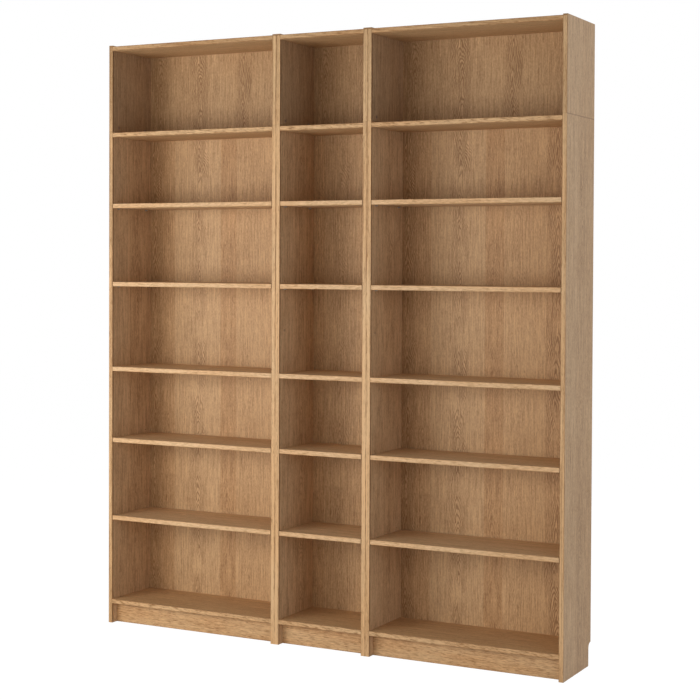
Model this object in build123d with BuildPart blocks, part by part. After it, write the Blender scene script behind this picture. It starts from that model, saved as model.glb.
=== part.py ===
"""Bookcase with adjustable shelves: three bays side by side, each a base unit under an extension unit.

Millimetres, +Z up, front towards -Y.  The origin is on the floor, under the middle of the case.
"""

import os

from build123d import *

# Overall sizes
wide_bay = 800.0  # outer width of the left and right bays
narrow_bay = 400.0  # outer width of the middle bay
case_depth = 280.0
base_height = 2020.0
extension_height = 350.0

# Boards
board = 18.0  # thickness of sides, tops, shelves and plinths
small_flats = 12  # flats that stand for a circle on small fittings and their many holes
edge_break = 0.6  # bevel along every front edge
base_top_drop = 6.0  # the base unit's sides stand this far above its top board
extension_top_drop = 4.0  # the same for the extension unit

# Plinth and skirting cut-out
plinth_height = 80.0
plinth_recess = 32.0
notch_depth = 22.0
notch_height = 86.0
notch_radius = 20.0

# Back panels, slid into grooves in the sides
back_thickness = 3.0
back_inset = 16.0  # from the rear edge of the sides to the back's rear face
groove_depth = 6.0
groove_play = 0.4  # groove width beyond the back's thickness
groove_end_play = 0.5  # between the back's edge and the bottom of the groove
back_foot = 88.0  # height of the base back's lower edge

# Shelf-pin holes on a regular pitch
hole_pitch = 32.0
first_hole = 71.0  # height of hole number 0
hole_radius = 2.5
hole_depth = 9.0
row_setback = 37.0  # from the front edge, and from the back panel, to a row of holes
spare_holes = 1  # free holes above each shelf's own
pin_radius = 2.4
pin_reach = 9.0  # length of a pin outside its hole
pin_seat_gap = 0.3  # between a pin and the shelf lying on it

# Shelves
loose_shelves = 2  # in each of the two fields, below and above the fixed shelf
shelf_raise = 1  # holes by which a loose shelf lies above an even division of its field
shelf_end_play = 2.0  # between a loose shelf and each side
shelf_back_play = 5.0  # between a loose shelf and the back panel

# Two-headed connectors that hold neighbouring bays together
connector_radius = 2.5
connector_play = 0.1
connector_head_radius = 5.0
connector_head_height = 1.4

# Cam fittings that draw each extension down on its base unit
cam_radius = 7.5
cam_thickness = 12.0
cam_sunk = 0.4  # between the cam's face and the inner face of its side
cam_play = 0.1
cam_rise = 17.0  # from the joint of the two units to the middle of the cam
cam_setback = 42.0  # from the front edge, and from the back panel, to a cam
cam_bolt_radius = 3.0
cam_bolt_grip = 24.0  # length inside the base unit's side

# Wall brackets on the extension tops
bracket_width = 40.0
bracket_plate = 2.0
bracket_lap = 31.0  # length of the upper leg that lies on the top board
bracket_drop = 34.0  # height of the leg against the wall
wall_hole_radius = 2.75
wall_hole_drop = 20.0  # from the top of the bracket to the middle of the wall hole
case_hole_inset = 17.0  # from the top board's rear edge to its bracket screw
case_screw_radius = 2.0
case_screw_play = 0.1
case_screw_grip = 13.0  # length inside the top board
case_screw_head_radius = 3.8
case_screw_head_height = 1.8

# Values that follow from the ones above
front = -case_depth / 2
rear = case_depth / 2
case_width = 2 * wide_bay + narrow_bay
back_rear_face = rear - back_inset
back_front_face = back_rear_face - back_thickness
board_depth = back_front_face - front
total_height = base_height + extension_height
base_top_underside = base_height - base_top_drop - board
extension_top_underside = total_height - extension_top_drop - board
bottom_shelf_underside = plinth_height
fixed_shelf_underside = (bottom_shelf_underside + base_top_underside) / 2
row_places = (front + row_setback, back_front_face - row_setback)
bracket_underside = extension_top_underside + board
case_hole_y = back_front_face - case_hole_inset
cam_places = (front + cam_setback, back_front_face - cam_setback)
cam_height = base_height + cam_rise
cam_depth = cam_thickness + cam_sunk
bays = {
    "left": (-case_width / 2, wide_bay),
    "middle": (-narrow_bay / 2, narrow_bay),
    "right": (narrow_bay / 2, wide_bay),
}


def hole_height(number):
    """Height of the middle of a hole in the rows."""
    return first_hole + number * hole_pitch


def nearest_hole(height):
    """Number of the hole nearest to a height."""
    return round((height - first_hole) / hole_pitch)


def loose_shelf_holes():
    """Hole numbers that carry the loose shelves, from the floor up."""
    pin_to_underside = pin_radius + pin_seat_gap
    numbers = []
    for floor_board in (bottom_shelf_underside, fixed_shelf_underside):
        spacing = (fixed_shelf_underside - bottom_shelf_underside) / (loose_shelves + 1)
        for place in range(1, loose_shelves + 1):
            even_underside = floor_board + place * spacing
            numbers.append(nearest_hole(even_underside - pin_to_underside) + shelf_raise)
    return numbers


shelf_holes = loose_shelf_holes()
free_holes = [n + k for n in shelf_holes for k in range(1, spare_holes + 1)]
clear_above_fixed = (fixed_shelf_underside + board + hole_height(shelf_holes[loose_shelves])) / 2
clear_in_extension = (base_height + extension_top_underside) / 2
base_connectors = [nearest_hole(clear_above_fixed)]
extension_connectors = [nearest_hole(clear_in_extension)]


def save(piece, name):
    """Label a finished piece and write it to its own file."""
    piece.label = name
    export_step(piece, f"parts/{name}.step")


def side_panel(inner_x, inward, bottom, height, holes=(), joined=()):
    """A grooved side with its row holes, connector holes and the cam bolts' edge holes.

    `inward` is 1 where its bay lies towards +X and -1 where it lies towards -X.
    """
    in_base = bottom == 0
    face = Plane.YZ.offset(inner_x)
    groove_width = back_thickness + groove_play
    with BuildPart() as side:
        with BuildSketch(face) as outline:
            with Locations((0, bottom + height / 2)):
                Rectangle(case_depth, height)
            if in_base:
                with Locations((rear, bottom)):
                    Rectangle(2 * notch_depth, 2 * notch_height, mode=Mode.SUBTRACT)
                notch_top = outline.vertices().group_by(Axis.Y)[1]
                fillet(notch_top.sort_by(Axis.X)[0], notch_radius)
        extrude(amount=-inward * board)
        chamfer(side.edges().filter_by(Axis.Z).group_by(Axis.Y)[0], edge_break)
        with BuildSketch(Plane.XY.offset(bottom)):
            with Locations((inner_x, back_front_face + groove_width / 2)):
                Rectangle(2 * groove_depth, groove_width)
        extrude(amount=height, mode=Mode.SUBTRACT)
        if holes:
            with BuildSketch(face):
                with Locations(*[(y, hole_height(n)) for y in row_places for n in holes]):
                    RegularPolygon(hole_radius, small_flats)
            extrude(amount=-inward * hole_depth, mode=Mode.SUBTRACT)
        if joined:
            with BuildSketch(face):
                with Locations(*[(row_places[0], hole_height(n)) for n in joined]):
                    RegularPolygon(connector_radius + connector_play, small_flats)
            extrude(amount=-inward * board, mode=Mode.SUBTRACT)
        with BuildSketch(Plane.XY.offset(base_height)):
            with Locations(*[(inner_x - inward * board / 2, y) for y in cam_places]):
                RegularPolygon(cam_bolt_radius + cam_play, small_flats)
        extrude(amount=-cam_bolt_grip if in_base else cam_rise, mode=Mode.SUBTRACT)
        if not in_base:
            with BuildSketch(face):
                with Locations(*[(y, cam_height) for y in cam_places]):
                    RegularPolygon(cam_radius + cam_play, small_flats)
            extrude(amount=-inward * cam_depth, mode=Mode.SUBTRACT)
    return side.part


def flat_board(middle_x, width, depth, underside, bracket_hole=False):
    """A level board from the case's front edge, with its front edges bevelled."""
    with BuildPart() as piece:
        with BuildSketch(Plane.XY.offset(underside)):
            with Locations((middle_x, front)):
                Rectangle(width, depth, align=(Align.CENTER, Align.MIN))
        extrude(amount=board)
        chamfer(piece.edges().filter_by(Axis.X).group_by(Axis.Y)[0], edge_break)
        if bracket_hole:
            with BuildSketch(Plane.XY.offset(underside + board)):
                with Locations((middle_x, case_hole_y)):
                    RegularPolygon(case_screw_radius + case_screw_play, small_flats)
            extrude(amount=-case_screw_grip, mode=Mode.SUBTRACT)
    return piece.part


def plinth_board(middle_x, width):
    """The recessed board that closes the foot of a bay."""
    with BuildPart() as plinth:
        with BuildSketch(Plane.XY):
            with Locations((middle_x, front + plinth_recess)):
                Rectangle(width, board, align=(Align.CENTER, Align.MIN))
        extrude(amount=plinth_height)
    return plinth.part


def back_panel(middle_x, clear_width, bottom, top):
    """A thin back that reaches into both grooves."""
    with BuildPart() as back:
        with BuildSketch(Plane.XY.offset(bottom)):
            with Locations((middle_x, back_front_face)):
                width = clear_width + 2 * (groove_depth - groove_end_play)
                Rectangle(width, back_thickness, align=(Align.CENTER, Align.MIN))
        extrude(amount=top - bottom)
    return back.part


def shelf_pins(inner_faces):
    """The pins that carry one bay's loose shelves, seated in their holes."""
    with BuildPart() as pins:
        for inner_x, inward in zip(inner_faces, (1, -1)):
            with BuildSketch(Plane.YZ.offset(inner_x - inward * hole_depth)):
                with Locations(*[(y, hole_height(n)) for y in row_places for n in shelf_holes]):
                    RegularPolygon(pin_radius, small_flats)
            extrude(amount=inward * (hole_depth + pin_reach))
    return pins.part


def bay_connectors(joint_faces):
    """A shank through both sides of each joint, with a low head on each inner face."""
    grip = 2 * board
    with BuildPart() as connectors:
        for joint_x in joint_faces:
            places = [(row_places[0], hole_height(n)) for n in base_connectors + extension_connectors]
            with BuildSketch(Plane.YZ.offset(joint_x - grip / 2)):
                with Locations(*places):
                    RegularPolygon(connector_radius, small_flats)
            extrude(amount=grip)
            for inner_x, inward in ((joint_x - grip / 2, -1), (joint_x + grip / 2, 1)):
                with BuildSketch(Plane.YZ.offset(inner_x)):
                    with Locations(*places):
                        RegularPolygon(connector_head_radius, small_flats)
                extrude(amount=inward * connector_head_height)
    return connectors.part


def cams(inner_faces):
    """The round cams sunk in the inner faces of one extension's sides."""
    with BuildPart() as fittings:
        for inner_x, inward in zip(inner_faces, (1, -1)):
            with BuildSketch(Plane.YZ.offset(inner_x - inward * cam_depth)):
                with Locations(*[(y, cam_height) for y in cam_places]):
                    RegularPolygon(cam_radius, small_flats)
            extrude(amount=inward * cam_thickness)
    return fittings.part


def cam_bolts(inner_faces):
    """The bolts that stand in the base's sides and reach up to the cams."""
    with BuildPart() as bolts:
        with BuildSketch(Plane.XY.offset(base_height - cam_bolt_grip)):
            for inner_x, inward in zip(inner_faces, (1, -1)):
                with Locations(*[(inner_x - inward * board / 2, y) for y in cam_places]):
                    RegularPolygon(cam_bolt_radius, small_flats)
        extrude(amount=cam_bolt_grip + cam_rise - cam_radius)
    return bolts.part


def wall_brackets(middles):
    """Angle brackets whose upper leg lies on the top board and whose other leg stands at the wall."""
    with BuildPart() as brackets:
        top = bracket_underside + bracket_plate
        for middle_x in middles:
            with BuildSketch(Plane.YZ.offset(middle_x)):
                with BuildLine():
                    Polyline(
                        (back_front_face - bracket_lap, top),
                        (rear, top),
                        (rear, top - bracket_drop),
                        (rear - bracket_plate, top - bracket_drop),
                        (rear - bracket_plate, bracket_underside),
                        (back_front_face - bracket_lap, bracket_underside),
                        close=True,
                    )
                make_face()
            extrude(amount=bracket_width / 2, both=True)
            with BuildSketch(Plane.XY.offset(top)):
                with Locations((middle_x, case_hole_y)):
                    RegularPolygon(case_screw_radius + case_screw_play, small_flats)
            extrude(amount=-bracket_plate, mode=Mode.SUBTRACT)
            with BuildSketch(Plane.XZ.offset(-rear)):
                with Locations((middle_x, top - wall_hole_drop)):
                    Circle(wall_hole_radius)
            extrude(amount=bracket_plate, mode=Mode.SUBTRACT)
    return brackets.part


def bracket_screws(middles):
    """The screws that hold the brackets down."""
    with BuildPart() as screws:
        top = bracket_underside + bracket_plate
        with BuildSketch(Plane.XY.offset(bracket_underside - case_screw_grip)):
            with Locations(*[(x, case_hole_y) for x in middles]):
                RegularPolygon(case_screw_radius, small_flats)
        extrude(amount=case_screw_grip + bracket_plate)
        with BuildSketch(Plane.XY.offset(top)):
            with Locations(*[(x, case_hole_y) for x in middles]):
                RegularPolygon(case_screw_head_radius, small_flats)
        extrude(amount=case_screw_head_height)
    return screws.part


os.makedirs("parts", exist_ok=True)

for bay, (start, width) in bays.items():
    inner_faces = (start + board, start + width - board)
    clear_width = width - 2 * board
    middle_x = start + width / 2

    # Sides of the base and of the extension
    for hand, inner_x, inward in zip(("left", "right"), inner_faces, (1, -1)):
        joined = bay != hand
        base_side = side_panel(
            inner_x,
            inward,
            0,
            base_height,
            holes=shelf_holes + free_holes,
            joined=base_connectors if joined else (),
        )
        save(base_side, f"{bay}_bay_base_side_{hand}")
        extension_side = side_panel(
            inner_x,
            inward,
            base_height,
            extension_height,
            joined=extension_connectors if joined else (),
        )
        save(extension_side, f"{bay}_bay_extension_side_{hand}")

    # Fixed boards
    save(plinth_board(middle_x, clear_width), f"{bay}_bay_plinth")
    for name, underside in {
        "bottom_shelf": bottom_shelf_underside,
        "fixed_shelf": fixed_shelf_underside,
        "base_top": base_top_underside,
    }.items():
        fixed_board = flat_board(middle_x, clear_width, board_depth, underside)
        save(fixed_board, f"{bay}_bay_{name}")
    extension_top = flat_board(
        middle_x,
        clear_width,
        board_depth,
        extension_top_underside,
        bracket_hole=True,
    )
    save(extension_top, f"{bay}_bay_extension_top")

    # Backs
    base_back = back_panel(middle_x, clear_width, back_foot, base_height)
    save(base_back, f"{bay}_bay_base_back")
    extension_back = back_panel(middle_x, clear_width, base_height, bracket_underside)
    save(extension_back, f"{bay}_bay_extension_back")

    # Fittings between base and extension
    save(cams(inner_faces), f"{bay}_bay_cams")
    save(cam_bolts(inner_faces), f"{bay}_bay_cam_bolts")

    # Loose shelves and their pins
    loose_width = clear_width - 2 * shelf_end_play
    loose_depth = board_depth - shelf_back_play
    for place, number in enumerate(shelf_holes, start=1):
        underside = hole_height(number) + pin_radius + pin_seat_gap
        loose_shelf = flat_board(middle_x, loose_width, loose_depth, underside)
        save(loose_shelf, f"{bay}_bay_adjustable_shelf_{place}")
    save(shelf_pins(inner_faces), f"{bay}_bay_shelf_pins")

# Fittings shared by the bays
bay_middles = [start + width / 2 for start, width in bays.values()]
save(bay_connectors((-narrow_bay / 2, narrow_bay / 2)), "bay_connectors")
save(wall_brackets(bay_middles), "wall_brackets")
save(bracket_screws(bay_middles), "wall_bracket_screws")
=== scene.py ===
"""Finishes the bookcase with adjustable shelves: oak foil, steel fittings, studio stage."""

import math

import bmesh
import bpy
from mathutils import Matrix, Vector


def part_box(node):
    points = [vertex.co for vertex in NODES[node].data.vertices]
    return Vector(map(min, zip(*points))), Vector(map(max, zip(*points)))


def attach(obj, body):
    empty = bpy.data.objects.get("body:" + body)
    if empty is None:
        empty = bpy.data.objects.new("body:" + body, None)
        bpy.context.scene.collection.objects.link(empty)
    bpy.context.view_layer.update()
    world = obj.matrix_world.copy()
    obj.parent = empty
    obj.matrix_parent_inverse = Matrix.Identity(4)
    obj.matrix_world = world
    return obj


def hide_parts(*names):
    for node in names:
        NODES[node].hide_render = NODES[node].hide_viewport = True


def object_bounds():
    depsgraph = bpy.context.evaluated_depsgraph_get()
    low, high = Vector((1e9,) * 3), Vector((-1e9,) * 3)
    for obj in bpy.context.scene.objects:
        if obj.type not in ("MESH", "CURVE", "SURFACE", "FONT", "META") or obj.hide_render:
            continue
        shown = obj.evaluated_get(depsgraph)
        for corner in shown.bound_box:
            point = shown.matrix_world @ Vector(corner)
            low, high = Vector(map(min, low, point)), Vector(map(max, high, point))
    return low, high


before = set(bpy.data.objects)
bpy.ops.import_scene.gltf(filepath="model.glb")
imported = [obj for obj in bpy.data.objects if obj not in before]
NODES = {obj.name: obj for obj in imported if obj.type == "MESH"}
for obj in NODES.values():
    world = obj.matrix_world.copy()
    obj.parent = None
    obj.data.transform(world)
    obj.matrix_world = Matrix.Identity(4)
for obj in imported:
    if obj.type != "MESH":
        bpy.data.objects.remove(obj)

bl_info = {
    "name": "Oak Bookcase Finisher",
    "version": (1, 0, 0),
    "blender": (4, 5, 0),
    "location": "View3D > Sidebar > Bookcase",
    "description": "Finishes a three-bay bookcase with oak foil, steel fittings and a plain studio",
    "category": "Object",
}

CASE_LOW, CASE_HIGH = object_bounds()
BAYS = ("left", "middle", "right")
HANDS = ("left", "right")
SHELF_PLACES = (1, 2, 3, 4)
JOINT_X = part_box("right_bay_base_side_left")[0].x
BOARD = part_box("right_bay_base_side_left")[1].x - JOINT_X
SEAM_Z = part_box("right_bay_base_side_left")[1].z
WHITE = (1.0, 1.0, 1.0, 1.0)


# --- Shader expressions -------------------------------------------------------------------------


class Value:
    """An output socket that takes part in Python arithmetic by adding Math nodes."""

    def __init__(self, graph, node, name=0):
        self.graph = graph
        self.node = node
        self.socket = node.outputs[name] if len(node.outputs) else None

    def __getitem__(self, name):
        return Value(self.graph, self.node, name)

    def math(self, operation, *others):
        return self.graph.math(operation, self, *others)

    def __add__(self, other):
        return self.math("ADD", other)

    def __sub__(self, other):
        return self.math("SUBTRACT", other)

    def __rsub__(self, other):
        return self.graph.math("SUBTRACT", other, self)

    def __mul__(self, other):
        return self.math("MULTIPLY", other)

    def __truediv__(self, other):
        return self.math("DIVIDE", other)

    def __pow__(self, other):
        return self.math("POWER", other)

    def __abs__(self):
        return self.math("ABSOLUTE")

    __radd__ = __add__
    __rmul__ = __mul__


class Graph:
    """A node tree that is written from top to bottom."""

    def __init__(self, tree):
        self.tree = tree
        tree.nodes.clear()

    def add(self, kind, settings=(), inputs=()):
        """Adds a node: first its settings, then the values or links of its sockets."""
        node = self.tree.nodes.new(kind)
        for name, setting in dict(settings).items():
            if name == "stops":
                self.set_stops(node.color_ramp, setting)
            else:
                setattr(node, name, setting)
        for name, value in dict(inputs).items():
            socket = node.inputs[name]
            if isinstance(value, Value):
                self.tree.links.new(value.socket, socket)
            else:
                socket.default_value = value
        return Value(self, node)

    def set_stops(self, ramp, stops):
        ramp.interpolation = "CONSTANT"
        while len(ramp.elements) < len(stops):
            ramp.elements.new(1.0)
        for element, (position, colour) in zip(ramp.elements, stops):
            element.position = position
            element.color = colour

    def ramp(self, share, stops):
        """A stepped look-up of colours."""
        node = self.add("ShaderNodeValToRGB", {"stops": stops}, {"Fac": share})
        return node["Color"]

    def math(self, operation, *values, clamp=False):
        settings = {"operation": operation, "use_clamp": clamp}
        return self.add("ShaderNodeMath", settings, dict(enumerate(values)))

    def clamp(self, value):
        """The value, held between 0 and 1."""
        return self.math("MULTIPLY", value, 1.0, clamp=True)

    def step(self, value, low, high):
        """0 below `low`, 1 above `high`, smooth between."""
        settings = {"interpolation_type": "SMOOTHSTEP"}
        inputs = {"Value": value, "From Min": low, "From Max": high}
        return self.add("ShaderNodeMapRange", settings, inputs)

    def mix(self, share, low, high):
        """A number between `low` and `high`."""
        settings = {"data_type": "FLOAT"}
        return self.add("ShaderNodeMix", settings, {"Factor": share, "A": low, "B": high})

    def blend(self, share, low, high, how="MIX"):
        """A colour between `low` and `high`."""
        settings = {"data_type": "RGBA", "blend_type": how}
        node = self.add("ShaderNodeMix", settings, {"Factor": share, 6: low, 7: high})
        return node[2]

    def vector(self, x, y, z):
        return self.add("ShaderNodeCombineXYZ", (), {"X": x, "Y": y, "Z": z})

    def noise(self, vector, detail=2.0, roughness=0.5):
        inputs = {"Vector": vector, "Scale": 1.0, "Detail": detail, "Roughness": roughness}
        return self.add("ShaderNodeTexNoise", {"noise_dimensions": "3D"}, inputs)

    def grain(self, cells, across, along, depth, seed):
        """Noise drawn out along the wood's grain, from a row of FACE_GRAINS or EDGE_GRAINS."""
        over, lengthwise, deep, detail, roughness = cells
        place = self.vector(across * over, along * lengthwise, depth * deep + seed)
        return self.noise(place, detail, roughness)


def new_material(name):
    """A material with an empty graph."""
    material = bpy.data.materials.new(name)
    material.use_nodes = True
    return material, Graph(material.node_tree)


def shade(graph, inputs):
    """Closes a graph with one Principled surface."""
    surface = graph.add("ShaderNodeBsdfPrincipled", (), inputs)
    graph.add("ShaderNodeOutputMaterial", (), {"Surface": surface})


def opaque(colour):
    return (*colour[:3], 1.0)


# --- Settings -----------------------------------------------------------------------------------


def colour_setting(name, description, default, most=1.0):
    """A colour whose channels run from 0 to `most`."""
    return bpy.props.FloatVectorProperty(
        name=name,
        description=description,
        subtype="COLOR",
        size=3,
        min=0.0,
        max=most,
        default=default,
    )


def share_setting(name, description, default, least=0.0):
    """A share from `least` to 1."""
    return bpy.props.FloatProperty(
        name=name,
        description=description,
        subtype="FACTOR",
        min=least,
        max=1.0,
        default=default,
    )


def number_setting(name, description, default, subtype="NONE"):
    """A number without limits: a distance or an angle where the subtype says so."""
    return bpy.props.FloatProperty(
        name=name,
        description=description,
        subtype=subtype,
        default=default,
    )


class OakSettings(bpy.types.PropertyGroup):
    """Colours, figure and painted light of the oak foil."""

    face_light: colour_setting(
        "Face Light", "Lightest wood between the pores on the wide faces", (0.64, 0.396, 0.200)
    )
    face_dark: colour_setting(
        "Face Dark", "Pores and late wood on the wide faces", (0.285, 0.148, 0.060)
    )
    warm_tint: colour_setting("Warm Tint", "Tint of the redder veneer leaves", (1.0, 0.952, 0.865))
    cool_tint: colour_setting("Cool Tint", "Tint of the greener veneer leaves", (0.985, 1.0, 0.98))
    # Painted light: a tint that lightens and cools the inner faces of the base sides, standing in for the
    # cool light from the right.
    side_painted_light: colour_setting(
        "Side Tint", "Tint of the inner faces of the base sides", (1.08, 1.15, 1.27), 2.0
    )
    # Painted shade and painted light: a tint that darkens the inner faces of the extension's sides and cools
    # them like the light from the right.
    extension_painted_shade: colour_setting(
        "Extension Tint", "Tint of the inner faces of the extension's sides", (0.80, 0.835, 0.915), 2.0
    )
    # Painted light: a tint that lightens and cools the two outermost faces, standing in for the cool light
    # from the right.
    outer_painted_light: colour_setting(
        "Outer Tint", "Tint of the two outermost faces", (1.04, 1.08, 1.15), 2.0
    )
    # Painted light: a tint that makes the wide faces of the shelves lighter and less saturated, standing in
    # for the light on their tops.
    shelf_painted_light: colour_setting(
        "Shelf Tint", "Tint of the wide faces of the shelves", (1.10, 1.18, 1.32), 2.0
    )
    edge_light: colour_setting(
        "Shelf Edge Light", "Lightest wood on the front edges of the shelves", (0.755, 0.478, 0.256)
    )
    edge_dark: colour_setting(
        "Shelf Edge Dark", "Pores on the front edges of the shelves", (0.42, 0.235, 0.10)
    )
    stile_light: colour_setting(
        "Side Edge Light", "Lightest wood on the front edges of the sides", (0.70, 0.435, 0.22)
    )
    stile_dark: colour_setting(
        "Side Edge Dark", "Pores on the front edges of the sides", (0.31, 0.165, 0.065)
    )
    board_light: colour_setting(
        "Fixed Edge Light",
        "Lightest wood on the front edges of tops, bottoms and plinths",
        (0.70, 0.435, 0.22),
    )
    board_dark: colour_setting(
        "Fixed Edge Dark",
        "Pores on the front edges of tops, bottoms and plinths",
        (0.30, 0.150, 0.055),
    )
    ring_step: number_setting(
        "Ring Step", "Distance between two growth rings across the grain", 0.0060, "DISTANCE"
    )
    arch_step: number_setting(
        "Arch Step",
        "Distance between two arches of the cathedral figure along the grain",
        0.040,
        "DISTANCE",
    )
    roughness: share_setting("Roughness", "Roughness of the foil", 0.60)
    specular: share_setting("Specular", "Strength of the foil's reflections", 0.3)


class FittingSettings(bpy.types.PropertyGroup):
    """Colours and fit of the metal fittings."""

    steel: colour_setting(
        "Steel", "Nickel plate of the pins, cam bolts, brackets and screws", (0.52, 0.51, 0.49)
    )
    tan: colour_setting(
        "Tan", "Lacquer on the connectors between the bays, close to the oak", (0.47, 0.295, 0.155)
    )
    zinc: colour_setting("Zinc", "Dull finish of the cams", (0.42, 0.30, 0.21))
    cam_fit: share_setting("Cam Fit", "Radius of a turned cam as a share of its seat", 0.97, 0.9)


class StageSettings(bpy.types.PropertyGroup):
    """Camera, lamps and surroundings."""

    camera_place: bpy.props.FloatVectorProperty(
        name="Camera Place",
        description="Where the camera stands",
        subtype="TRANSLATION",
        size=3,
        default=(2.954, -5.254, 1.492),
    )
    camera_yaw: number_setting(
        "Camera Yaw",
        "Turn of the camera to the left, from straight at the wall",
        math.radians(26.313),
        "ANGLE",
    )
    camera_pitch: number_setting(
        "Camera Pitch", "Tilt of the camera above the level", math.radians(-1.155), "ANGLE"
    )
    camera_roll: number_setting("Camera Roll", "Roll of the camera", math.radians(0.289), "ANGLE")
    lens: number_setting("Lens", "Focal length on the sensor, in millimetres", 79.36)
    shift: bpy.props.FloatVectorProperty(
        name="Lens Shift",
        description="Sideways and upward shift of the lens, in frame widths",
        size=2,
        default=(-0.1, -0.0814),
    )
    ambient: number_setting("Ambient", "Brightness of the surroundings as they light the case", 0.21)
    lamp_power: bpy.props.FloatProperty(
        name="Lamp Power",
        description="Power that each softbox has a share of",
        unit="POWER",
        default=56.0,
    )


# --- Oak foil -----------------------------------------------------------------------------------

# A leaf is one veneer strip: width, extra dark, warmth, strength of its cathedral figure, and
# the place of the heart line across the strip (0 to 1).
BACK_LEAVES = (
    (0.060, 0.11, 0.5, 0.7, 0.40),
    (0.065, 0.08, 0.7, 0.2, 0.50),
    (0.230, -0.06, 0.1, 0.8, 0.52),
    (0.075, 0.10, 1.0, 0.2, 0.50),
    (0.170, -0.09, 0.4, 0.2, 0.35),
    (0.164, 0.00, 0.6, 1.0, 0.30),
)
MIDDLE_BACK_LEAVES = (
    (0.044, 0.00, 0.7, 0.2, 0.50),
    (0.007, 0.12, 0.6, 0.1, 0.50),
    (0.145, 0.08, 0.2, 0.3, 0.50),
    (0.085, -0.05, 0.3, 0.3, 0.50),
    (0.083, -0.01, 0.3, 0.3, 0.50),
)
EXTENSION_BACK_LEAVES = (
    (0.110, 0.18, 0.2, 0.4, 0.40),
    (0.250, 0.10, 0.1, 0.9, 0.54),
    (0.240, 0.08, 0.2, 0.8, 0.47),
    (0.164, 0.09, 0.3, 0.4, 0.50),
)
SIDE_LEAVES = (
    (0.105, -0.02, 0.3, 0.2, 0.50),
    (0.100, 0.02, 0.5, 0.9, 0.55),
    (0.075, 0.03, 0.7, 0.2, 0.50),
)
EXTENSION_SIDE_LEAVES = ((0.150, 0.00, 0.3, 0.3, 0.50), (0.130, 0.03, 0.5, 0.3, 0.50))
BOARD_LEAVES = ((0.120, 0.00, 0.4, 0.5, 0.60), (0.160, 0.02, 0.5, 0.6, 0.50))
SHELF_LEAVES = ((0.150, -0.02, 0.3, 0.3, 0.40), (0.130, 0.02, 0.5, 0.3, 0.50))

# A grain is a noise field: its cells per metre across the fibres, along them and in depth, then
# its detail and its roughness.
FACE_GRAINS = {
    "wander": (7.0, 3.0, 9.0, 2.0, 0.5),
    "ripple": (50.0, 17.0, 9.0, 2.0, 0.5),
    "patch": (16.0, 7.0, 9.0, 1.0, 0.5),
    "streak": (190.0, 7.0, 40.0, 2.0, 0.5),
    "dash": (165.0, 32.0, 40.0, 2.0, 0.6),
    "speck": (210.0, 105.0, 40.0, 1.0, 0.6),
    "line": (80.0, 1.4, 20.0, 2.0, 0.5),
    "pore": (620.0, 42.0, 80.0, 2.0, 0.6),
    "cloud": (5.0, 2.5, 5.0, 2.0, 0.5),
    "fibre": (1300.0, 26.0, 90.0, 1.0, 0.5),
}
# A look sets the cells of "line" across the fibres and those of "dash" along them.
EDGE_GRAINS = {
    "line": (1.0, 2.4, 1.0, 2.0, 0.5),
    "dash": (185.0, 1.0, 1.0, 3.0, 0.6),
    "speck": (300.0, 90.0, 1.0, 2.0, 0.6),
    "drift": (20.0, 2.6, 1.0, 2.0, 0.5),
    "pore": (260.0, 34.0, 1.0, 1.0, 0.6),
}
BOARD_SEED = 1.0
SEED_STEP = 4.0
PATCH_SEED = 5.0
EDGE_SEED = 30.0
EDGE_PORE_SEED = 7.0

# Wide faces. Lengths are in metres, and a dark is a share of the way from light to dark wood.
HEART_BEND = 0.05  # how far the heart line wanders sideways
ARCH_ROUNDING = 0.00003  # square of the distance at which an arch turns over its heart line
RIPPLE_RINGS = 2.4  # rings by which the fine noise bends the figure
WANDER_RINGS = 9.0  # rings by which the coarse noise bends it
RING_SHARPNESS = 2.2
RING_PATCHES = (0.28, 0.58)  # noise from which the rings begin to show, and at which they are full
HEART_ZONE = (0.018, 0.055)  # distances from the heart line between which the figure fades
PLAIN_RING = 0.10  # strength of the rings outside that zone
SPECK_SHARE = 0.8
PORES = (0.52, 0.70)
PORE_DARK = 0.16
CLOUD_DARK = 0.25
CLOUD_WARMTH = 0.8
FACE_LEVEL = 0.27  # dark of a face before anything is drawn on it
PRINT_DARK = 0.07  # extra dark of the thin backs
FIBRES = (0.36, 0.64)
FIBRE_SPAN = 1.1
FIBRE_LEAST = 0.45

# Front edges.
FACING = (0.4, 0.6)  # share of a face's normal along Y over which it becomes an edge, front or rear
EDGE_SPECK = 0.6
EDGE_PORES = (0.54, 0.70)
EDGE_FLECKS = (0.28, 0.42)
FLECK_SHARE = 0.5
DRIFT_DARK = 0.5
DRIFT_WARMTH = 4.0
EDGE_LEVEL = 0.28
EDGE_WARMTH = 0.5

# Painted shade: upright edges grow darker outwards from the middle of the case, and upwards.
OUTWARD = (0.4, 0.9)
UPWARD = (0.5, 2.2)
LEFT_EDGE_SHADE = 0.30
RIGHT_EDGE_SHADE = 0.14
HIGH_EDGE_SHADE = 0.12
SIDE_EDGE_LEVEL = -0.19
SIDE_EDGE_WARMTH = 0.25
SEAM_BLEND = 0.05  # height to each side of the seam over which an extension's tone sets in
EXTENSION_EDGE_DARK = 0.09
EXTENSION_EDGE_WARMTH = -0.7

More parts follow.
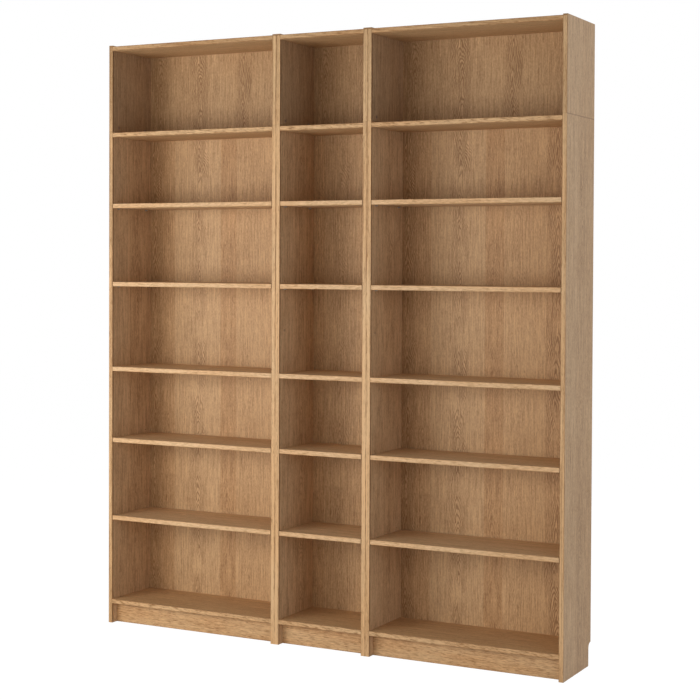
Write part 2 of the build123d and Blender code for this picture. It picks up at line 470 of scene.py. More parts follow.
# A line is its width to each side and its dark, which is full over LINE_CORE of the width.
LINE_CORE = 0.25
TOP_LINE = (0.0085, 1.2)  # at the upper ends of the sides
BORDER_LINE = (0.0026, 0.7)  # at the corners of an upright's front edge
UNDER_SHADE_LINE = (0.0032, 0.5)  # painted shade at a board's lower corner, where the underside is in shadow
SEAM_LINE = (0.0028, 0.5)  # between base and extension, on the wide faces
SEAM_EDGE_LINE = (0.0028, 0.1)  # the same on the front edges
CORNER_LINE = (0.011, 0.9)  # just inside the front edge of a side
OVER_SHADE_WIDTH = 0.0028  # painted shade at a board's upper corner
JOINT_LINE_WIDTH = 0.0034  # between two sides back to back
JOINT_LINE_SPAN = 0.6
JOINT_LINE_LEAST = 0.35
JOINT_BREAKS = (0.40, 0.62)  # noise over which the joint line goes from faint to full
JOINT_BREAK_CELLS = 9.0  # cells of that noise per metre of height
OUTSIDE = (0.0004, 0.0002)  # depths below the outermost faces over which their look sets in

PORE_BUMP = {"Strength": 0.3, "Distance": 0.0003}
PORE_ROUGHNESS = 0.12
# No painted light: the fixed boards keep their own colour.
NO_PAINTED_LIGHT = (1.0, 1.0, 1.0)


def leaf_ramps(graph, place, leaves):
    """Looks up the leaf at `place`: its dark, warmth and figure, and the heart line's place."""
    total = sum(leaf[0] for leaf in leaves)
    looks, hearts, start = [], [], 0.0
    for width, dark, warmth, figure, heart in leaves:
        looks.append((start / total, (0.5 + dark, warmth, figure, 1.0)))
        middle = (start + heart * width) / total
        hearts.append((start / total, (middle, middle, middle, 1.0)))
        start += width
    share = place / total
    look = graph.ramp(share, looks)
    heart = graph.add("ShaderNodeSeparateColor", (), {"Color": graph.ramp(share, hearts)})
    parts = graph.add("ShaderNodeSeparateColor", (), {"Color": look})
    return parts["Red"] - 0.5, parts["Green"], parts["Blue"], heart["Red"] * total


def face_wood(graph, across, along, depth, oak, look):
    """Dark share, warmth and pores of a wide face.

    `across` and `along` run over the grain and with it, from the edge of the first leaf.
    """
    seed = look["seed"]

    def grain(name, shift=0.0):
        return graph.grain(FACE_GRAINS[name], across, along, depth, seed + shift)

    tone, warmth, figure, heart = leaf_ramps(graph, across, look["leaves"])
    wander = grain("wander") - 0.5
    ripple = grain("ripple") - 0.5
    off_heart = across - heart + wander * HEART_BEND
    hull = graph.math("SQRT", off_heart * off_heart + ARCH_ROUNDING)
    rings = hull / oak.ring_step + along / oak.arch_step + ripple * RIPPLE_RINGS + wander * WANDER_RINGS
    ring = graph.math("SINE", rings * (2.0 * math.pi)) * 0.5 + 0.5
    ring = ring**RING_SHARPNESS * graph.step(grain("patch", PATCH_SEED), *RING_PATCHES)
    near_heart = 1.0 - graph.step(hull, *HEART_ZONE)
    ring = ring * (near_heart * figure + PLAIN_RING)
    streak = grain("streak") - 0.5
    dash = grain("dash") - 0.5
    speck = grain("speck") - 0.5
    line = grain("line") - 0.5
    pore = graph.step(grain("pore"), *PORES)
    cloud = grain("cloud") - 0.5
    drawn = ring * look["ring"] + streak * look["streak"] + line * look["line"]
    drawn = drawn + (dash + speck * SPECK_SHARE) * look["speck"] + pore * PORE_DARK
    dark = tone + drawn * fibres(graph, across, along, depth, seed) + cloud * CLOUD_DARK + FACE_LEVEL
    return dark, warmth + cloud * CLOUD_WARMTH, pore


def fibres(graph, across, along, depth, seed):
    """Fine fibres that break up the figure, 1 on average."""
    fine = graph.grain(FACE_GRAINS["fibre"], across, along, depth, seed)
    return graph.step(fine, *FIBRES) * FIBRE_SPAN + FIBRE_LEAST


def edge_wood(graph, across, along, depth, look):
    """Dark share, warmth and pores of a narrow front edge."""
    seed = look["seed"] + EDGE_SEED
    lean = across + along * look["lean"]
    line = graph.grain(EDGE_GRAINS["line"], lean * look["edge_lines"], along, depth, seed) - 0.5
    dash = graph.grain(EDGE_GRAINS["dash"], lean, along * look["edge_dashes"], depth, seed) - 0.5
    speck = graph.grain(EDGE_GRAINS["speck"], lean, along, depth, seed) - 0.5
    drift = graph.grain(EDGE_GRAINS["drift"], across, along, depth, seed) - 0.5
    grain = graph.grain(EDGE_GRAINS["pore"], lean, along, depth, seed + EDGE_PORE_SEED)
    fleck = 1.0 - graph.step(grain, *EDGE_FLECKS)
    pore = graph.step(grain, *EDGE_PORES)
    drawn = line * look["edge_line"] + dash * look["edge_dash"] + speck * EDGE_SPECK
    drawn = drawn + (pore - fleck * FLECK_SHARE) * look["edge_pore"]
    dark = drawn * fibres(graph, lean, along, depth, seed) + drift * DRIFT_DARK + EDGE_LEVEL
    return dark, drift * DRIFT_WARMTH + EDGE_WARMTH, pore


def dark_line(graph, at, where, width, dark=1.0):
    """`dark` on a line at `where`, fading to 0 at `width` to each side."""
    return (1.0 - graph.step(abs(at - where), width * LINE_CORE, width)) * dark


def side_face(graph, at, outside, oak, look):
    """Dark share, warmth and pores of a side's wide faces."""
    dark, warmth, pore = face_wood(graph, at["Y"] - CASE_LOW.y, at["Z"], at["X"], oak, look)
    dark = dark + outside * look["outside"]
    dark = dark + dark_line(graph, at["Y"], CASE_LOW.y, *CORNER_LINE) * (1.0 - outside)
    dark = dark + dark_line(graph, at["Z"], SEAM_Z, *SEAM_LINE)
    return dark, warmth, pore


def side_edge(graph, at, look):
    """Dark share, warmth and pores of a side's front edge."""
    x, z, aside = at["X"], at["Z"], abs(at["X"])
    dark, warmth, pore = edge_wood(graph, x, z, at["Y"], look)
    # Painted shade: darker outwards and upwards.
    dark = dark + graph.step(0.0 - x, *OUTWARD) * LEFT_EDGE_SHADE
    dark = dark + graph.step(x, *OUTWARD) * RIGHT_EDGE_SHADE
    dark = dark + graph.step(z, *UPWARD) * HIGH_EDGE_SHADE + SIDE_EDGE_LEVEL
    dark = dark + dark_line(graph, z, CASE_HIGH.z, *TOP_LINE)
    broken = graph.noise(graph.vector(0.0, 0.0, z * JOINT_BREAK_CELLS), 3.0)
    broken = graph.step(broken, *JOINT_BREAKS) * JOINT_LINE_SPAN + JOINT_LINE_LEAST
    dark = dark + dark_line(graph, aside, JOINT_X, JOINT_LINE_WIDTH) * broken
    for border in (JOINT_X - BOARD, JOINT_X + BOARD, CASE_HIGH.x - BOARD, CASE_HIGH.x):
        dark = dark + dark_line(graph, aside, border, *BORDER_LINE)
    dark = dark + dark_line(graph, z, SEAM_Z, *SEAM_EDGE_LINE)
    extension = graph.step(z, SEAM_Z - SEAM_BLEND, SEAM_Z + SEAM_BLEND)
    dark = dark + extension * EXTENSION_EDGE_DARK
    warmth = warmth + SIDE_EDGE_WARMTH + extension * EXTENSION_EDGE_WARMTH
    return dark, warmth, pore


def board_edge(graph, at, look):
    """Dark share, warmth and pores of a level board's front edge."""
    z = at["Z"]
    dark, warmth, pore = edge_wood(graph, z, at["X"], at["Y"], look)
    # Painted shade: a line at each front corner, and on some boards a shade over the whole edge.
    dark = dark + dark_line(graph, z, look["under"], *UNDER_SHADE_LINE) + look["edge_tone"]
    dark = dark + dark_line(graph, z, look["under"] + BOARD, OVER_SHADE_WIDTH, look["over"])
    return dark, warmth, pore


def oak_material(name, oak, look):
    """Oak foil whose grain runs up or level, with lighter front edges unless it is a thin back."""
    material, graph = new_material(name)
    place = graph.add("ShaderNodeTexCoord")
    at = graph.add("ShaderNodeSeparateXYZ", (), {"Vector": place["Object"]})
    if look["grain"] == "print":
        across, flat = at["X"] - look["start"], at["Y"] * 0.0
        dark, warmth, pore = face_wood(graph, across, at["Z"], flat, oak, look)
        colour = graph.blend(graph.clamp(dark + PRINT_DARK), opaque(oak.face_light), opaque(oak.face_dark))
    else:
        if look["grain"] == "up":
            outer = CASE_HIGH.x
            outside = graph.step(abs(at["X"]), *(outer - depth for depth in OUTSIDE))
            dark, warmth, pore = side_face(graph, at, outside, oak, look)
            edge_dark, edge_warmth, edge_pore = side_edge(graph, at, look)
            # Painted light: the wide faces take a tint that stands in for light and shade, with another tint
            # on the outermost faces.
            tint = graph.blend(outside, opaque(look["tint"]), opaque(oak.outer_painted_light))
        else:
            dark, warmth, pore = face_wood(graph, at["Y"] - CASE_LOW.y, at["X"], at["Z"], oak, look)
            edge_dark, edge_warmth, edge_pore = board_edge(graph, at, look)
            tint = opaque(look["tint"])
        facing = graph.add("ShaderNodeSeparateXYZ", (), {"Vector": place["Normal"]})
        front = graph.step(abs(facing["Y"]), *FACING)
        pore = graph.mix(front, pore, edge_pore)
        warmth = graph.mix(front, warmth, edge_warmth)
        light, deep = look["edge"]
        rim = graph.blend(graph.clamp(edge_dark), opaque(light), opaque(deep))
        colour = graph.blend(graph.clamp(dark), opaque(oak.face_light), opaque(oak.face_dark))
        colour = graph.blend(front, colour, rim)
        # The painted light multiplies the wide faces only, not the front edges.
        colour = graph.blend(front, graph.blend(1.0, colour, tint, "MULTIPLY"), colour)
    cool = graph.blend(1.0, colour, opaque(oak.cool_tint), "MULTIPLY")
    warm = graph.blend(1.0, colour, opaque(oak.warm_tint), "MULTIPLY")
    inputs = {
        "Base Color": graph.blend(graph.clamp(warmth), cool, warm),
        "Roughness": oak.roughness + (pore - 0.5) * PORE_ROUGHNESS,
        "Specular IOR Level": oak.specular,
        "Normal": graph.add("ShaderNodeBump", {"invert": True}, PORE_BUMP | {"Height": pore}),
    }
    shade(graph, inputs)
    return material


def dress(node, *materials):
    """Gives a node of the frame its finish."""
    slots = NODES[node].data.materials
    slots.clear()
    for material in materials:
        slots.append(material)


# A look is what one foil draws. On the wide faces `ring`, `streak`, `line` and `speck` are
# strengths. On the front edges `edge_line`, `edge_dash` and `edge_pore` are strengths,
# `edge_lines` and `edge_dashes` are cells per metre across and along the grain, `lean` is the
# slope of the fibres, `over` the painted shade of the upper corner and `edge_tone` an extra
# painted shade over the whole edge. The operators add what differs from piece to piece: seed,
# colours, painted light, leaves and places.
SIDE_LOOK = {
    "grain": "up",
    "ring": 0.45,
    "streak": 1.25,
    "line": 0.5,
    "speck": 0.8,
    "lean": 0.0,
    "edge_lines": 170.0,
    "edge_line": 2.1,
    "edge_dashes": 18.0,
    "edge_dash": 0.9,
    "edge_pore": 0.30,
}
BACK_LOOK = {
    "grain": "print",
    "ring": 1.0,
    "streak": 1.25,
    "line": 0.25,
    "speck": 0.85,
}
SHELF_LOOK = {
    "grain": "level",
    "leaves": SHELF_LEAVES,
    "ring": 0.1,
    "streak": 1.1,
    "line": 0.6,
    "speck": 0.65,
    "lean": 0.0,
    "edge_lines": 300.0,
    "edge_line": 0.9,
    "edge_dashes": 40.0,
    "edge_dash": 1.6,
    "edge_pore": 0.4,
    "edge_tone": 0.0,
    "over": 0.2,
}
FIXED_LOOK = SHELF_LOOK | {
    "leaves": BOARD_LEAVES,
    "ring": 0.25,
    "lean": 0.10,
    "edge_line": 1.0,
    "edge_dashes": 26.0,
    "edge_dash": 1.8,
    "edge_pore": 0.8,
    "over": 0.6,
}
EXTENSION_TOP_LOOK = FIXED_LOOK | {
    "edge_line": 1.6,
    "edge_dashes": 14.0,
    "edge_dash": 0.6,
    "edge_pore": 0.3,
    # Painted shade: the top's front edge darker, where less light reaches.
    "edge_tone": 0.26,
}
PLINTH_LOOK = FIXED_LOOK | {
    "lean": 0.02,
    "edge_dash": 1.2,
    "edge_pore": 0.45,
    # Painted shade: the recessed plinth's front edge a little darker.
    "edge_tone": 0.07,
    "over": 0.0,
}


class BOOKCASE_OT_finish_sides(bpy.types.Operator):
    """Lays foil with upright grain on the twelve sides"""

    bl_idname = "bookcase.finish_sides"
    bl_label = "Finish Sides"

    def execute(self, context):
        oak = context.scene.bookcase_oak
        look = SIDE_LOOK | {"edge": (oak.stile_light, oak.stile_dark)}
        # Each kind of side carries its painted light and shade as a tint of its wide faces.
        base = look | {"seed": 3.0, "leaves": SIDE_LEAVES, "tint": oak.side_painted_light, "outside": 0.10}
        extension = look | {"seed": 11.0, "leaves": EXTENSION_SIDE_LEAVES}
        extension |= {"tint": oak.extension_painted_shade, "outside": 0.05}
        base_foil = oak_material("side_foil", oak, base)
        extension_foil = oak_material("extension_side_foil", oak, extension)
        for bay in BAYS:
            for hand in HANDS:
                dress(f"{bay}_bay_base_side_{hand}", base_foil)
                dress(f"{bay}_bay_extension_side_{hand}", extension_foil)
        return {"FINISHED"}


class BOOKCASE_OT_finish_backs(bpy.types.Operator):
    """Prints upright grain on the thin backs"""

    bl_idname = "bookcase.finish_backs"
    bl_label = "Finish Backs"

    def execute(self, context):
        oak = context.scene.bookcase_oak
        for bay in BAYS:
            look = BACK_LOOK | {"start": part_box(f"{bay}_bay_base_side_left")[1].x}
            leaves = MIDDLE_BACK_LEAVES if bay == "middle" else BACK_LEAVES
            base = look | {"seed": 8.0, "leaves": leaves}
            dress(f"{bay}_bay_base_back", oak_material(f"{bay}_back_print", oak, base))
            extension = look | {"seed": 17.0, "leaves": EXTENSION_BACK_LEAVES}
            dress(f"{bay}_bay_extension_back", oak_material(f"{bay}_extension_back_print", oak, extension))
        return {"FINISHED"}


class BOOKCASE_OT_finish_boards(bpy.types.Operator):
    """Lays foil with level grain on shelves, tops, bottoms and plinths"""

    bl_idname = "bookcase.finish_boards"
    bl_label = "Finish Boards"

    def execute(self, context):
        oak = context.scene.bookcase_oak
        # Painted light on the shelves' wide faces, none on the fixed boards.
        shelf = {"edge": (oak.edge_light, oak.edge_dark), "tint": oak.shelf_painted_light}
        fixed = {"edge": (oak.board_light, oak.board_dark), "tint": NO_PAINTED_LIGHT}
        rows = {f"adjustable_shelf_{place}": SHELF_LOOK | shelf for place in SHELF_PLACES}
        rows["fixed_shelf"] = SHELF_LOOK | shelf
        rows["bottom_shelf"] = FIXED_LOOK | fixed
        rows["base_top"] = FIXED_LOOK | fixed
        rows["extension_top"] = EXTENSION_TOP_LOOK | fixed
        rows["plinth"] = PLINTH_LOOK | fixed
        for number, (row, look) in enumerate(rows.items()):
            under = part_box(f"left_bay_{row}")[0].z
            look |= {"seed": BOARD_SEED + SEED_STEP * number, "under": under}
            foil = oak_material(f"{row}_foil", oak, look)
            for bay in BAYS:
                dress(f"{bay}_bay_{row}", foil)
        return {"FINISHED"}


# --- Metal --------------------------------------------------------------------------------------

# Cells per metre along X, Y and Z.
BRUSH_CELLS = (300.0, 900.0, 900.0)
SPOT_CELLS = (90.0, 90.0, 90.0)
BRUSH_DETAIL = 3.0
BRUSHED = (0.3, 0.7)
SPOTTED = (0.5, 0.7)
WORN_TONE = 0.75
BRUSH_BUMP = {"Strength": 0.2, "Distance": 0.0002}
BRUSH_ROUGHNESS = 0.15
SPOT_ROUGHNESS = 0.12
STEEL_ROUGHNESS = 0.32
DULL_ROUGHNESS = 0.55
ZINC_METALLIC = 0.5


def metal_material(name, colour, roughness, metallic=1.0):
    """Plated or lacquered metal with fine uneven brushing and a few dull spots."""
    material, graph = new_material(name)
    place = graph.add("ShaderNodeTexCoord")
    at = graph.add("ShaderNodeSeparateXYZ", (), {"Vector": place["Object"]})

    def scaled(cells):
        return graph.vector(*(at[axis] * count for axis, count in zip("XYZ", cells)))

    brush = graph.noise(scaled(BRUSH_CELLS), BRUSH_DETAIL)
    spots = graph.step(graph.noise(scaled(SPOT_CELLS)), *SPOTTED)
    worn = tuple(WORN_TONE * channel for channel in colour)
    inputs = {
        "Base Color": graph.blend(graph.step(brush, *BRUSHED), opaque(worn), opaque(colour)),
        "Metallic": metallic,
        "Roughness": roughness + (brush - 0.5) * BRUSH_ROUGHNESS + spots * SPOT_ROUGHNESS,
        "Normal": graph.add("ShaderNodeBump", (), BRUSH_BUMP | {"Height": brush}),
    }
    shade(graph, inputs)
    return material


# --- Turned fittings ----------------------------------------------------------------------------


class TurnedFitting:
    """A node tree that sets one round fitting on every point, its head along the point's aim.

    A fitting has a rod through the face it sits on, a head with a broken rim, and a recess.
    """

    SIZES = (
        "Rod Radius",
        "Rod Grip",
        "Rod Reach",
        "Head Radius",
        "Head Height",
        "Rim Break",
        "Recess Width",
    )
    ROD_SIDES = 24
    HEAD_SIDES = 32
    RINGS = 2  # segments along a cylinder, which leave one ring between its two ends
    RING_TEST = 0.25  # share of the height that parts the middle ring from the end rings
    RECESS_DEPTH = 0.6  # share of the head's height
    BAR_WIDTH = 0.22  # share of a cross recess's width

    def __init__(self, name, recess):
        self.tree = bpy.data.node_groups.new(name, "GeometryNodeTree")
        self.graph = Graph(self.tree)
        self.tree.interface.new_socket("Geometry", in_out="INPUT", socket_type="NodeSocketGeometry")
        self.tree.interface.new_socket("Geometry", in_out="OUTPUT", socket_type="NodeSocketGeometry")
        for size in self.SIZES:
            self.tree.interface.new_socket(size, in_out="INPUT", socket_type="NodeSocketFloat")
        self.tree.interface.new_socket("Finish", in_out="INPUT", socket_type="NodeSocketMaterial")
        self.given = self.graph.add("NodeGroupInput")
        whole = self.join(self.rod(), self.head(recess))
        self.spread(whole)

    def cylinder(self, radius, height, sides, rings=1):
        inputs = {"Vertices": sides, "Side Segments": rings, "Radius": radius, "Depth": height}
        return self.graph.add("GeometryNodeMeshCylinder", {"fill_type": "NGON"}, inputs)["Mesh"]

    def bar(self, length, width, height):
        size = self.graph.vector(length, width, height)
        return self.graph.add("GeometryNodeMeshCube", (), {"Size": size})["Mesh"]

    def lift(self, mesh, height):
        shift = self.graph.vector(0.0, 0.0, height)
        return self.graph.add("GeometryNodeTransform", (), {"Geometry": mesh, "Translation": shift})

    def join(self, *meshes):
        node = self.graph.add("GeometryNodeJoinGeometry")
        for mesh in meshes:
            self.tree.links.new(mesh.socket, node.node.inputs[0])
        return node

    def break_rim(self, mesh, radius, height, rim):
        """Draws the top ring in by `rim`, and sets the middle ring `rim` below it."""
        place = self.graph.add("GeometryNodeInputPosition")
        at = self.graph.add("ShaderNodeSeparateXYZ", (), {"Vector": place})
        top = self.graph.math("GREATER_THAN", at["Z"], height * self.RING_TEST)
        middle = self.graph.math("LESS_THAN", abs(at["Z"]), height * self.RING_TEST)
        shrink = 1.0 - top * (rim / radius)
        rise = middle * (height * 0.5 - rim)
        moved = self.graph.vector(at["X"] * shrink, at["Y"] * shrink, at["Z"] + rise)
        return self.graph.add("GeometryNodeSetPosition", (), {"Geometry": mesh, "Position": moved})

    def rod(self):
        given, rim = self.given, self.given["Rim Break"]
        radius = given["Rod Radius"]
        height = given["Rod Grip"] + given["Rod Reach"]
        rod = self.cylinder(radius, height, self.ROD_SIDES, self.RINGS)
        rod = self.break_rim(rod, radius, height, rim)
        return self.lift(rod, (given["Rod Reach"] - given["Rod Grip"]) * 0.5)

    def head(self, recess):
        given = self.given
        radius, height = given["Head Radius"], given["Head Height"]
        head = self.cylinder(radius, height, self.HEAD_SIDES, self.RINGS)
        head = self.lift(self.break_rim(head, radius, height, given["Rim Break"]), height * 0.5)
        width = given["Recess Width"]
        depth = height * self.RECESS_DEPTH
        if recess == "hexagon":
            cutter = self.cylinder(width * 0.5, depth * 2.0, 6)
        elif recess == "cross":
            narrow = width * self.BAR_WIDTH
            bars = [self.bar(width, narrow, depth * 2.0), self.bar(narrow, width, depth * 2.0)]
            cutter = self.join(*bars)
        else:
            return head
        cutter = self.lift(cutter, height)
        settings = {"operation": "DIFFERENCE", "solver": "EXACT"}
        cut = self.graph.add("GeometryNodeMeshBoolean", settings, {"Mesh 1": head, "Self Intersection": True})
        self.tree.links.new(cutter.socket, cut.node.inputs["Mesh 2"])
        return cut["Mesh"]

    def spread(self, fitting):
        settings = {"data_type": "FLOAT_VECTOR"}
        aim = self.graph.add("GeometryNodeInputNamedAttribute", settings, {"Name": "aim"})
        turn = self.graph.add("FunctionNodeAlignRotationToVector", {"axis": "Z"}, {"Vector": aim})
        inputs = {"Points": self.given["Geometry"], "Instance": fitting, "Rotation": turn}
        spread = self.graph.add("GeometryNodeInstanceOnPoints", (), inputs)
        real = self.graph.add("GeometryNodeRealizeInstances", (), {"Geometry": spread})
        inputs = {"Geometry": real, "Material": self.given["Finish"]}
        finished = self.graph.add("GeometryNodeSetMaterial", (), inputs)
        self.graph.add("NodeGroupOutput", (), {"Geometry": finished})

    def bake(self, name, places, sizes, finish):
        """A plain mesh of this fitting at every (place, aim)."""
        mesh = bpy.data.meshes.new(name)
        mesh.from_pydata([place for place, _ in places], [], [])
        aims = mesh.attributes.new("aim", "FLOAT_VECTOR", "POINT")
        aims.data.foreach_set("vector", [number for _, aim in places for number in aim])
        piece = bpy.data.objects.new(name, mesh)
        bpy.context.scene.collection.objects.link(piece)
        modifier = piece.modifiers.new("turned", "NODES")
        modifier.node_group = self.tree
        sockets = [item for item in self.tree.interface.items_tree if item.in_out == "INPUT"]
        named = {socket.name: socket.identifier for socket in sockets}
        for size, value in zip(self.SIZES, sizes):
            modifier[named[size]] = value
        modifier[named["Finish"]] = finish
        seen = piece.evaluated_get(bpy.context.evaluated_depsgraph_get())
        solid = bpy.data.meshes.new_from_object(seen)
        piece.modifiers.clear()
        piece.data = solid
        bpy.data.meshes.remove(mesh)
        solid.name = name
        return piece


SAME_PLACE = 1e-6  # distance within which two corners of a mesh are one

# Sizes of the turned fittings: lengths in metres, and shares of the head's radius.
PIN_COLLAR = 0.001
PIN_RIM = 0.0003
CAM_RIM = 0.0005
HEAD_RIM = 0.0004
CAM_ROD = 0.5
CAM_RECESS = 1.2
CONNECTOR_ROD = 0.48
SCREW_ROD = 0.5
SCREW_RECESS = 1.3


def loose_boxes(node):
    """The lowest and highest corners of each separate solid of a node."""
    copy = bmesh.new()
    copy.from_mesh(NODES[node].data)
    bmesh.ops.remove_doubles(copy, verts=copy.verts, dist=SAME_PLACE)
    waiting = set(copy.verts)
    boxes = []
    while waiting:
        found = [waiting.pop()]
        for vert in found:
            near = {edge.other_vert(vert) for edge in vert.link_edges} & waiting
            waiting -= near
            found.extend(near)
        columns = list(zip(*(vert.co for vert in found)))
        low = Vector([min(column) for column in columns])
        high = Vector([max(column) for column in columns])
        boxes.append((low, high))
    copy.free()
    return sorted(boxes, key=lambda box: tuple(box[0]))


def inner_faces():
    """The inner face of each bay's two sides, as its X and the way it faces."""
    faces = []
    for bay in BAYS:
        faces.append((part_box(f"{bay}_bay_base_side_left")[1].x, 1.0))
        faces.append((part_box(f"{bay}_bay_base_side_right")[0].x, -1.0))
    return faces


def on_inner_faces(nodes):
    """A place on each inner face that a solid of the nodes passes through, and the aim off it."""
    places = []
    for node in nodes:
        for low, high in loose_boxes(node):
            middle = (low + high) / 2
            for x, way in inner_faces():
                if low.x < x < high.x:
                    places.append(((x, middle.y, middle.z), (way, 0.0, 0.0)))
    return places


class BOOKCASE_OT_finish_fittings(bpy.types.Operator):
    """Turns the pins, connectors, cams and screws, and plates all the metal"""

    bl_idname = "bookcase.finish_fittings"
    bl_label = "Finish Fittings"

    def execute(self, context):
        fittings = context.scene.bookcase_fittings
        steel = metal_material("nickel_steel", fittings.steel, STEEL_ROUGHNESS)
        tan = metal_material("tan_lacquer", fittings.tan, DULL_ROUGHNESS, 0.0)
        zinc = metal_material("dark_zinc", fittings.zinc, DULL_ROUGHNESS, ZINC_METALLIC)
        for bay in BAYS:
            dress(f"{bay}_bay_cam_bolts", steel)
        dress("wall_brackets", steel)
        self.turn_pins(steel)
        self.turn_cams(zinc, fittings.cam_fit)
        self.turn_connectors(tan)
        self.turn_screws(steel)
        return {"FINISHED"}

    def turn_pins(self, finish):
        pins = [f"{bay}_bay_shelf_pins" for bay in BAYS]
        low, high = loose_boxes(pins[0])[0]
        radius, reach = (high.z - low.z) / 2, (high.x - low.x) / 2
        sizes = (radius, reach, reach, radius + PIN_COLLAR, PIN_COLLAR, PIN_RIM, 0.0)
        self.stand_in(TurnedFitting("turned_pin", None), "turned_shelf_pins", pins, sizes, finish)

    def turn_cams(self, finish, fit):
        cams = [f"{bay}_bay_cams" for bay in BAYS]
        low, high = loose_boxes(cams[0])[0]
        radius, height = (high.z - low.z) / 2 * fit, high.x - low.x
        places = []
        for cam in cams:
            for low, high in loose_boxes(cam):
                middle = (low + high) / 2
                _, way = min(inner_faces(), key=lambda face: abs(face[0] - middle.x))
                deep = low.x if way > 0 else high.x
                places.append(((deep, middle.y, middle.z), (way, 0.0, 0.0)))
        sizes = (radius * CAM_ROD, 0.0, height * 0.5, radius, height, CAM_RIM, radius * CAM_RECESS)
        self.stand_in(TurnedFitting("turned_cam", "cross"), "turned_cams", cams, sizes, finish, places)

    def turn_connectors(self, finish):
        low, high = loose_boxes("bay_connectors")[0]
        radius, height = (high.z - low.z) / 2, (high.x - low.x) / 2 - BOARD
        sizes = (radius * CONNECTOR_ROD, BOARD, 0.0, radius, height, HEAD_RIM, radius)
        connector = TurnedFitting("turned_connector", "hexagon")
        self.stand_in(connector, "turned_bay_connectors", ["bay_connectors"], sizes, finish)

    def turn_screws(self, finish):
        node = "wall_bracket_screws"
        boxes = loose_boxes(node)
        low, high = boxes[0]
        radius, height = (high.x - low.x) / 2, high.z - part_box("wall_brackets")[1].z
        grip = high.z - low.z - height
        places = []
        for low, high in boxes:
            middle = (low + high) / 2
            places.append(((middle.x, middle.y, high.z - height), (0.0, 0.0, 1.0)))
        sizes = (radius * SCREW_ROD, grip, 0.0, radius, height, HEAD_RIM, radius * SCREW_RECESS)
        screw = TurnedFitting("turned_screw", "cross")
        self.stand_in(screw, "turned_bracket_screws", [node], sizes, finish, places)

    def stand_in(self, tree, name, nodes, sizes, finish, places=None):
        """Bakes a fitting at its places and puts it in for its nodes."""
        places = places or on_inner_faces(nodes)
        if not places:
            raise RuntimeError(f"{name} has no places")
        piece = tree.bake(name, places, sizes, finish)
        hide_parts(*nodes)
        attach(piece, "root")


# --- Stage --------------------------------------------------------------------------------------


# Name, place, target, size, share of the lamp power, colour.
LAMPS = (
    ("key_front", (-1.1, -3.4, 1.3), (-0.1, 0.0, 1.15), (2.6, 1.6), 0.80, (1.0, 1.0, 1.0)),
    ("key_left", (-2.6, -3.0, 1.4), (-0.1, 0.0, 1.15), (2.0, 1.6), 0.90, (1.0, 1.0, 1.0)),
    ("fill_right", (4.64, -2.66, 1.60), (0.3, 0.0, 1.2), (2.8, 2.2), 0.76, (0.92, 1.0, 1.18)),
    ("side_right", (4.0, 0.5, 2.5), (0.9, 0.1, 1.6), (2.0, 2.0), 0.49, (0.89, 1.0, 1.28)),
    ("rear", (-1.4, 3.6, 1.7), (0.0, 0.2, 1.2), (2.2, 1.6), 0.62, (1.0, 1.0, 1.0)),
    ("above", (0.0, 0.1, 3.6), (0.0, 0.05, 2.4), (1.8, 0.3), 0.10, (1.0, 1.0, 1.0)),
)


# Lengths are in metres, and the width of the sensor in millimetres.
FLOOR_HALF = 12.0
FLOOR_GAP = 0.0005
PAPER = (0.9, 0.9, 0.9, 1.0)
FLOOR_GLOW = 1.06
GLOW_SHARE = 0.93
SENSOR_WIDTH = 36.0
CLIP_START = 0.05
CLIP_END = 100.0


def softbox(name, place, target, size, power, colour):
    """A rectangular area lamp at `place` that faces `target`."""
    lamp = bpy.data.lights.new(name, "AREA")
    lamp.shape = "RECTANGLE"
    lamp.size, lamp.size_y = size
    lamp.energy = power
    lamp.color = colour
    thing = bpy.data.objects.new(name, lamp)
    bpy.context.scene.collection.objects.link(thing)
    thing.location = place
    thing.rotation_euler = (Vector(target) - Vector(place)).to_track_quat("-Z", "Y").to_euler()


def seen_directly(graph):
    """1 to the eye, to mirrors and through glass, and 0 to the light that falls on things."""
    path = graph.add("ShaderNodeLightPath")
    seen = graph.math("MAXIMUM", path["Is Camera Ray"], path["Is Glossy Ray"])
    return graph.math("MAXIMUM", seen, path["Is Transmission Ray"])


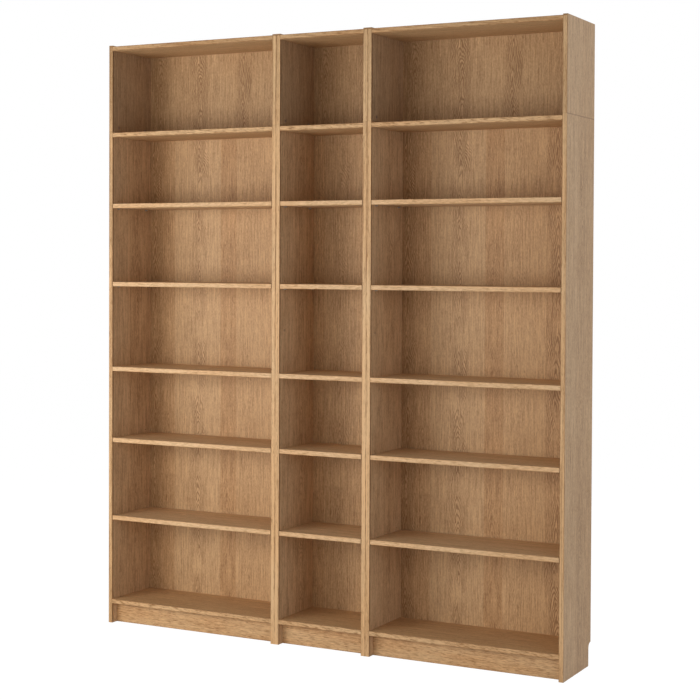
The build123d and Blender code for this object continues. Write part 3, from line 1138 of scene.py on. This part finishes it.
class BOOKCASE_OT_build_stage(bpy.types.Operator):
    """Lays the floor, sets the lamps and the camera"""

    bl_idname = "bookcase.build_stage"
    bl_label = "Build Stage"

    def execute(self, context):
        settings = context.scene.bookcase_stage
        self.light_world(context.scene, settings)
        self.lay_floor()
        for name, place, target, size, share, colour in LAMPS:
            softbox(name, place, target, size, share * settings.lamp_power, colour)
        self.set_camera(context.scene, settings)
        context.scene.view_settings.view_transform = "Standard"
        return {"FINISHED"}

    def light_world(self, scene, settings):
        world = bpy.data.worlds.new("studio")
        world.use_nodes = True
        graph = Graph(world.node_tree)
        strength = graph.mix(seen_directly(graph), settings.ambient, 1.0)
        air = graph.add("ShaderNodeBackground", (), {"Color": WHITE, "Strength": strength})
        graph.add("ShaderNodeOutputWorld", (), {"Surface": air})
        scene.world = world

    def lay_floor(self):
        half = FLOOR_HALF
        mesh = bpy.data.meshes.new("floor")
        corners = [(-half, -half, 0.0), (half, -half, 0.0), (half, half, 0.0), (-half, half, 0.0)]
        mesh.from_pydata(corners, [], [(0, 1, 2, 3)])
        floor = bpy.data.objects.new("floor", mesh)
        bpy.context.scene.collection.objects.link(floor)
        floor.location.z = CASE_LOW.z - FLOOR_GAP
        material, graph = new_material("floor_paper")
        paper = graph.add("ShaderNodeBsdfDiffuse", (), {"Color": PAPER})
        glow = graph.add("ShaderNodeEmission", (), {"Color": WHITE, "Strength": FLOOR_GLOW})
        share = seen_directly(graph) * GLOW_SHARE
        both = graph.add("ShaderNodeMixShader", (), {"Fac": share, 1: paper, 2: glow})
        graph.add("ShaderNodeOutputMaterial", (), {"Surface": both})
        mesh.materials.append(material)

    def set_camera(self, scene, settings):
        data = bpy.data.cameras.new("camera")
        data.sensor_width = SENSOR_WIDTH
        data.lens = settings.lens
        data.shift_x, data.shift_y = settings.shift
        data.clip_start, data.clip_end = CLIP_START, CLIP_END
        camera = bpy.data.objects.new("camera", data)
        scene.collection.objects.link(camera)
        level = math.radians(90.0)
        turn = Matrix.Rotation(settings.camera_yaw, 4, "Z")
        tilt = Matrix.Rotation(level + settings.camera_pitch, 4, "X")
        roll = Matrix.Rotation(settings.camera_roll, 4, "Z")
        camera.matrix_world = Matrix.Translation(settings.camera_place) @ turn @ tilt @ roll
        scene.camera = camera


class BOOKCASE_PT_panel(bpy.types.Panel):
    """Lists the steps in the sidebar"""

    bl_label = "Bookcase"
    bl_idname = "BOOKCASE_PT_panel"
    bl_space_type = "VIEW_3D"
    bl_region_type = "UI"
    bl_category = "Bookcase"

    def draw(self, context):
        layout = self.layout
        for step in STEPS:
            layout.operator(step.bl_idname)


SETTINGS = {
    "bookcase_oak": OakSettings,
    "bookcase_fittings": FittingSettings,
    "bookcase_stage": StageSettings,
}
STEPS = (
    BOOKCASE_OT_finish_sides,
    BOOKCASE_OT_finish_backs,
    BOOKCASE_OT_finish_boards,
    BOOKCASE_OT_finish_fittings,
    BOOKCASE_OT_build_stage,
)


def register():
    for group in SETTINGS.values():
        bpy.utils.register_class(group)
    for name, group in SETTINGS.items():
        setattr(bpy.types.Scene, name, bpy.props.PointerProperty(type=group))
    for step in STEPS:
        bpy.utils.register_class(step)
    bpy.utils.register_class(BOOKCASE_PT_panel)


def unregister():
    bpy.utils.unregister_class(BOOKCASE_PT_panel)
    for step in reversed(STEPS):
        bpy.utils.unregister_class(step)
    for name, group in SETTINGS.items():
        delattr(bpy.types.Scene, name)
        bpy.utils.unregister_class(group)


def main():
    register()
    for step in STEPS:
        group, _, call = step.bl_idname.partition(".")
        getattr(getattr(bpy.ops, group), call)()


if __name__ == "__main__":
    main()
